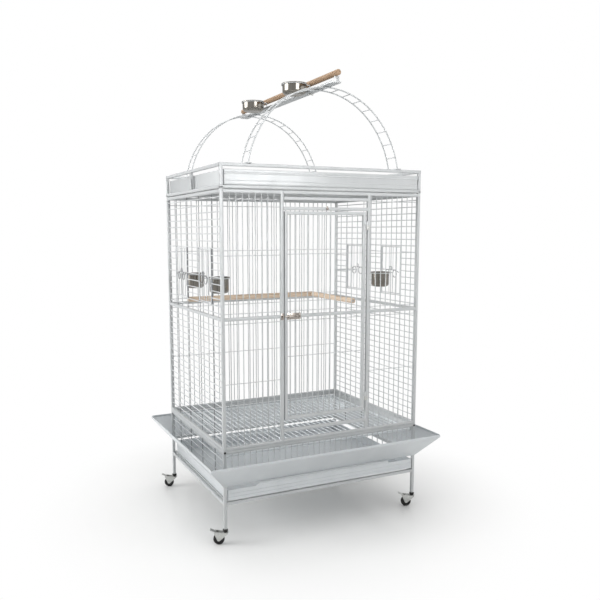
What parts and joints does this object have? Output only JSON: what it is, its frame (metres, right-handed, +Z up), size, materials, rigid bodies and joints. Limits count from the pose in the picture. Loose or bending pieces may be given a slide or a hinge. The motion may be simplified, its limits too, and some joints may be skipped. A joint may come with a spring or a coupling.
{
  "type": "play top parrot cage",
  "caption": "Barred metal parrot cage on a wheeled stand with sloping seed guards, a front door, feeder doors, trays, and a play top of ladder arches, a perch and cups.",
  "frame": {"origin": "on the floor, under the middle of the whole object's box", "axes": "+Z up; the front door faces -Y; +X to the right seen from the front"},
  "size_m": [1.0756, 0.959, 1.8506],
  "materials": {
    "silver_powder_coat": "satin silver-grey powder coat on steel tube and wire",
    "sheet_powder_coat": "satin silver-grey powder coat on folded sheet",
    "stainless_steel": "bright pressed stainless steel",
    "bright_zinc": "bright zinc plate",
    "dark_bronze": "dark antique lacquer",
    "turned_hardwood": "bare sanded dowel",
    "black_rubber": "matt black tread"
  },
  "bodies": {
    "cage": {"body_left_wall": "silver_powder_coat", "body_rear_wall": "silver_powder_coat", "body_right_wall": "silver_powder_coat", "door_hinge_lower": "bright_zinc", "door_hinge_upper": "bright_zinc", "front_arch": "silver_powder_coat", "front_header": "silver_powder_coat", "front_left_panel": "silver_powder_coat", "front_right_panel": "silver_powder_coat", "front_sill": "silver_powder_coat", "latch_keeper": "dark_bronze", "low_perch_cross": "turned_hardwood", "low_perch_long": "turned_hardwood", "perch_strip": "sheet_powder_coat", "play_top_frame": "silver_powder_coat", "play_top_rim": "silver_powder_coat", "rear_arch": "silver_powder_coat", "roof_grille": "silver_powder_coat", "seed_guard_front": "sheet_powder_coat", "seed_guard_left": "sheet_powder_coat", "seed_guard_rear": "sheet_powder_coat", "seed_guard_right": "sheet_powder_coat", "stand_front_panel": "silver_powder_coat", "stand_front_rail": "silver_powder_coat", "stand_left_frame": "silver_powder_coat", "stand_rear_panel": "silver_powder_coat", "stand_rear_rail": "silver_powder_coat", "stand_right_frame": "silver_powder_coat", "top_cup_holder_front": "silver_powder_coat", "top_cup_holder_rear": "silver_powder_coat", "top_perch": "turned_hardwood"},
    "front_door": {"front_door": "silver_powder_coat", "latch_plate": "dark_bronze"},
    "latch_bolt": {"latch_bolt": "dark_bronze"},
    "bottom_tray": {"bottom_tray": "sheet_powder_coat"},
    "play_top_tray": {"play_top_tray": "sheet_powder_coat"},
    "floor_grate": {"floor_grate": "silver_powder_coat"},
    "top_cup_front": {"top_cup_front": "stainless_steel"},
    "top_cup_rear": {"top_cup_rear": "stainless_steel"},
    "feeder_door_front_left": {"feeder_door_front_left": "silver_powder_coat"},
    "side_cup_front_left": {"side_cup_front_left": "stainless_steel"},
    "feeder_door_front_right": {"feeder_door_front_right": "silver_powder_coat"},
    "side_cup_front_right": {"side_cup_front_right": "stainless_steel"},
    "feeder_door_rear_left": {"feeder_door_rear_left": "silver_powder_coat"},
    "side_cup_rear_left": {"side_cup_rear_left": "stainless_steel"},
    "feeder_door_rear_right": {"feeder_door_rear_right": "silver_powder_coat"},
    "caster_fork_front_left": {"caster_fork_front_left": "bright_zinc"},
    "caster_wheel_front_left": {"caster_wheel_front_left": "black_rubber"},
    "brake_lever_front_left": {"brake_lever_front_left": "bright_zinc"},
    "caster_fork_front_right": {"caster_fork_front_right": "bright_zinc"},
    "caster_wheel_front_right": {"caster_wheel_front_right": "black_rubber"},
    "brake_lever_front_right": {"brake_lever_front_right": "bright_zinc"},
    "caster_fork_rear_left": {"caster_fork_rear_left": "bright_zinc"},
    "caster_wheel_rear_left": {"caster_wheel_rear_left": "black_rubber"},
    "brake_lever_rear_left": {"brake_lever_rear_left": "bright_zinc"},
    "caster_fork_rear_right": {"caster_fork_rear_right": "bright_zinc"},
    "caster_wheel_rear_right": {"caster_wheel_rear_right": "black_rubber"},
    "brake_lever_rear_right": {"brake_lever_rear_right": "bright_zinc"}
  },
  "joints": [
    {"name": "front_door_hinge", "type": "hinge", "parent": "cage", "child": "front_door", "pos_m": [0.1893, -0.3961, 0.89625], "axis": [0, 0, 1], "range_deg": [0, 135]},
    {"name": "latch_bolt_slide", "type": "slide", "parent": "front_door", "child": "latch_bolt", "axis": [-1, 0, 0], "range_m": [0, 0.013]},
    {"name": "bottom_tray_slide", "type": "slide", "parent": "cage", "child": "bottom_tray", "axis": [0, -1, 0], "range_m": [0, 0.45]},
    {"name": "play_top_tray_slide", "type": "slide", "parent": "cage", "child": "play_top_tray", "axis": [0, -1, 0], "range_m": [0, 0.45]},
    {"name": "floor_grate_lift", "type": "slide", "parent": "cage", "child": "floor_grate", "axis": [0, 0, 1], "range_m": [0, 0.03]},
    {"name": "top_cup_front_lift", "type": "slide", "parent": "cage", "child": "top_cup_front", "axis": [0, 0, 1], "range_m": [0, 0.05]},
    {"name": "top_cup_rear_lift", "type": "slide", "parent": "cage", "child": "top_cup_rear", "axis": [0, 0, 1], "range_m": [0, 0.05]},
    {"name": "feeder_door_front_left_hinge", "type": "hinge", "parent": "cage", "child": "feeder_door_front_left", "pos_m": [-0.45085, -0.2672, 1.01999], "axis": [0, 0, 1], "range_deg": [0, 110]},
    {"name": "side_cup_front_left_lift", "type": "slide", "parent": "feeder_door_front_left", "child": "side_cup_front_left", "axis": [0, 0, 1], "range_m": [0, 0.05]},
    {"name": "feeder_door_front_right_hinge", "type": "hinge", "parent": "cage", "child": "feeder_door_front_right", "pos_m": [0.45085, -0.2672, 1.01999], "axis": [0, 0, -1], "range_deg": [0, 110]},
    {"name": "side_cup_front_right_lift", "type": "slide", "parent": "feeder_door_front_right", "child": "side_cup_front_right", "axis": [0, 0, 1], "range_m": [0, 0.05]},
    {"name": "feeder_door_rear_left_hinge", "type": "hinge", "parent": "cage", "child": "feeder_door_rear_left", "pos_m": [-0.45085, 0.1862, 1.01999], "axis": [0, 0, -1], "range_deg": [0, 110]},
    {"name": "side_cup_rear_left_lift", "type": "slide", "parent": "feeder_door_rear_left", "child": "side_cup_rear_left", "axis": [0, 0, 1], "range_m": [0, 0.05]},
    {"name": "feeder_door_rear_right_hinge", "type": "hinge", "parent": "cage", "child": "feeder_door_rear_right", "pos_m": [0.45085, 0.1862, 1.01999], "axis": [0, 0, 1], "range_deg": [0, 110]},
    {"name": "caster_front_left_swivel", "type": "hinge", "parent": "cage", "child": "caster_fork_front_left", "pos_m": [-0.45085, -0.38975, 0.0636], "axis": [0, 0, 1], "continuous": true},
    {"name": "caster_front_left_roll", "type": "hinge", "parent": "caster_fork_front_left", "child": "caster_wheel_front_left", "pos_m": [-0.4744, -0.37872, 0.0225], "axis": [-0.4242, -0.9056, 0], "continuous": true},
    {"name": "brake_lever_front_left_press", "type": "hinge", "parent": "caster_fork_front_left", "child": "brake_lever_front_left", "pos_m": [-0.48707, -0.37278, 0.0505], "axis": [-0.4242, -0.9056, 0], "range_deg": [0, 20]},
    {"name": "caster_front_right_swivel", "type": "hinge", "parent": "cage", "child": "caster_fork_front_right", "pos_m": [0.45085, -0.38975, 0.0636], "axis": [0, 0, 1], "continuous": true},
    {"name": "caster_front_right_roll", "type": "hinge", "parent": "caster_fork_front_right", "child": "caster_wheel_front_right", "pos_m": [0.4273, -0.37872, 0.0225], "axis": [-0.4242, -0.9056, 0], "continuous": true},
    {"name": "brake_lever_front_right_press", "type": "hinge", "parent": "caster_fork_front_right", "child": "brake_lever_front_right", "pos_m": [0.41463, -0.37278, 0.0505], "axis": [-0.4242, -0.9056, 0], "range_deg": [0, 20]},
    {"name": "caster_rear_left_swivel", "type": "hinge", "parent": "cage", "child": "caster_fork_rear_left", "pos_m": [-0.45085, 0.30875, 0.0636], "axis": [0, 0, 1], "continuous": true},
    {"name": "caster_rear_left_roll", "type": "hinge", "parent": "caster_fork_rear_left", "child": "caster_wheel_rear_left", "pos_m": [-0.4744, 0.31978, 0.0225], "axis": [-0.4242, -0.9056, 0], "continuous": true},
    {"name": "brake_lever_rear_left_press", "type": "hinge", "parent": "caster_fork_rear_left", "child": "brake_lever_rear_left", "pos_m": [-0.48707, 0.32572, 0.0505], "axis": [-0.4242, -0.9056, 0], "range_deg": [0, 20]},
    {"name": "caster_rear_right_swivel", "type": "hinge", "parent": "cage", "child": "caster_fork_rear_right", "pos_m": [0.45085, 0.30875, 0.0636], "axis": [0, 0, 1], "continuous": true},
    {"name": "caster_rear_right_roll", "type": "hinge", "parent": "caster_fork_rear_right", "child": "caster_wheel_rear_right", "pos_m": [0.4273, 0.31978, 0.0225], "axis": [-0.4242, -0.9056, 0], "continuous": true},
    {"name": "brake_lever_rear_right_press", "type": "hinge", "parent": "caster_fork_rear_right", "child": "brake_lever_rear_right", "pos_m": [0.41463, 0.32572, 0.0505], "axis": [-0.4242, -0.9056, 0], "range_deg": [0, 20]}
  ]
}
